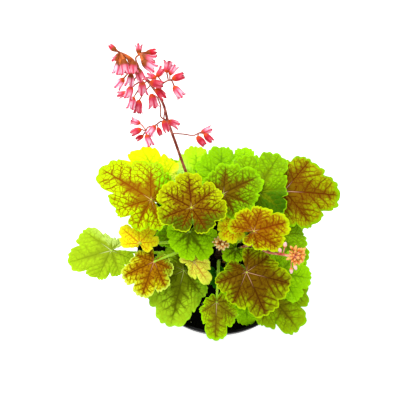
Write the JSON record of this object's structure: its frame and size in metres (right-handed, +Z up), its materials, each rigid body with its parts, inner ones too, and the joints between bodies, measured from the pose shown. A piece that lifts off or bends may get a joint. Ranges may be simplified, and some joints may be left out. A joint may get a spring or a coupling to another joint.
{
  "type": "potted heuchera plant",
  "caption": "Heuchera (coral bells) in a round nursery pot: lobed, veined leaves on long petioles, an open stalk hung with small bells and young stalks still in bud.",
  "frame": {"origin": "middle of the pot's flat underside, where it rests", "axes": "+Z up along the pot's axis, +X to the right and -Y towards the viewer who looks at the plant's front; the flower stalk leans towards -X and +Y"},
  "size_m": [0.2266, 0.1628, 0.3519],
  "materials": {
    "pot": "satin",
    "soil": "matte",
    "crown": "matte",
    "leaf_green": "satin",
    "leaf_veined": "satin",
    "leaf_ripe": "satin",
    "leaf_yellow": "satin",
    "flower": "satin",
    "bud": "satin"
  },
  "bodies": {
    "root": {"pot": "pot", "soil": "soil", "crown": "crown", "leaf_01": "leaf_veined", "leaf_02": "leaf_veined", "leaf_03": "leaf_veined", "leaf_04": "leaf_veined", "leaf_05": "leaf_ripe", "leaf_06": "leaf_ripe", "leaf_07": "leaf_green", "leaf_08": "leaf_green", "leaf_09": "leaf_ripe", "leaf_10": "leaf_green", "leaf_11": "leaf_green", "leaf_12": "leaf_green", "leaf_13": "leaf_green", "leaf_14": "leaf_yellow", "leaf_15": "leaf_yellow", "leaf_16": "leaf_yellow", "leaf_17": "leaf_yellow", "leaf_18": "leaf_green", "leaf_19": "leaf_green", "leaf_20": "leaf_green", "leaf_21": "leaf_green", "leaf_22": "leaf_green", "leaf_23": "leaf_green", "leaf_24": "leaf_green", "leaf_25": "leaf_green", "leaf_26": "leaf_green", "leaf_27": "leaf_green", "leaf_28": "leaf_green", "leaf_29": "leaf_green", "leaf_30": "leaf_green", "flower_stalk": "flower", "young_stalk_1": "bud", "young_stalk_2": "bud"}
  },
  "joints": []
}
